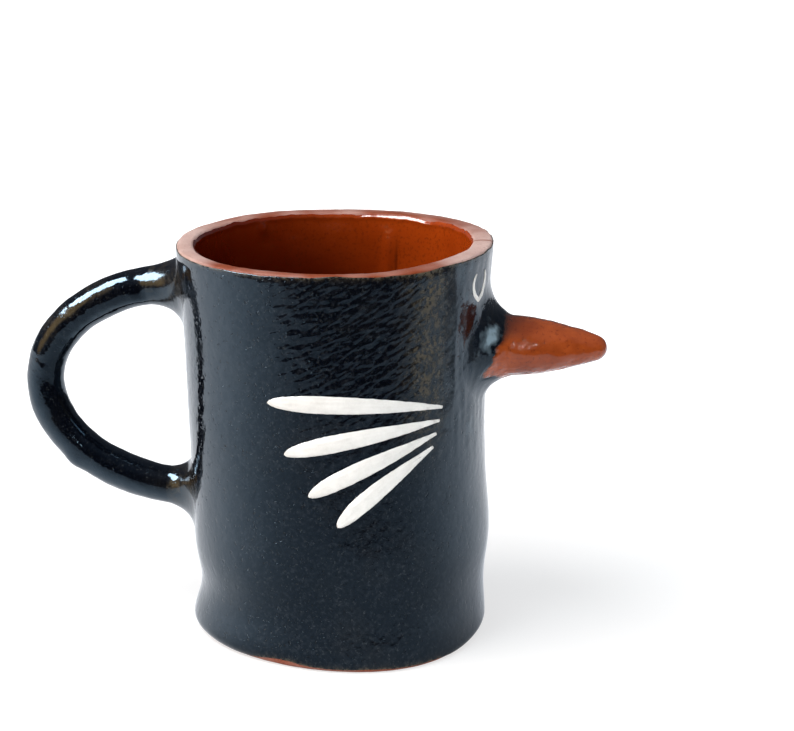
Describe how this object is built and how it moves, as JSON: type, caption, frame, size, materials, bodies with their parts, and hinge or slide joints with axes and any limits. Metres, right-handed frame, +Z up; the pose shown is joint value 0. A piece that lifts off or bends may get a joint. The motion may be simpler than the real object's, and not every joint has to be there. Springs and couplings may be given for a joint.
{
  "type": "mug",
  "caption": "Hand-built pottery mug in the form of a bird: a slightly flared cylinder that leans a little, with a coil handle, a cone beak opposite, slip eyes and wings, dark outside and amber inside.",
  "frame": {"origin": "centre of the foot, on the surface that the mug stands on", "axes": "+Z up, square to the foot (the body leans 1.5 degrees from it towards the handle), +X towards the beak, -X towards the handle, +Y to the far side"},
  "size_m": [0.1497, 0.0798, 0.101],
  "materials": {
    "bare_clay": "bare fired terracotta, satin",
    "black_glaze": "glossy blue-black glaze with a fine ripple",
    "amber_glaze": "clear amber glaze over red clay, glossy",
    "beak_glaze": "clear glaze over red clay, glossy",
    "white_slip": "brushed white slip under glaze"
  },
  "bodies": {
    "root": {"floor": "bare_clay", "wall": "bare_clay", "floor_coil": "bare_clay", "seam_coil": "amber_glaze", "liner_glaze": "amber_glaze", "wall_glaze": "black_glaze", "handle": "black_glaze", "handle_upper_weld": "black_glaze", "handle_lower_weld": "black_glaze", "beak": "beak_glaze", "beak_weld": "black_glaze", "eye_near": "white_slip", "eye_far": "white_slip", "wing_feather_near_1": "white_slip", "wing_feather_near_2": "white_slip", "wing_feather_near_3": "white_slip", "wing_feather_near_4": "white_slip", "wing_feather_far_1": "white_slip", "wing_feather_far_2": "white_slip", "wing_feather_far_3": "white_slip", "wing_feather_far_4": "white_slip"}
  },
  "joints": []
}
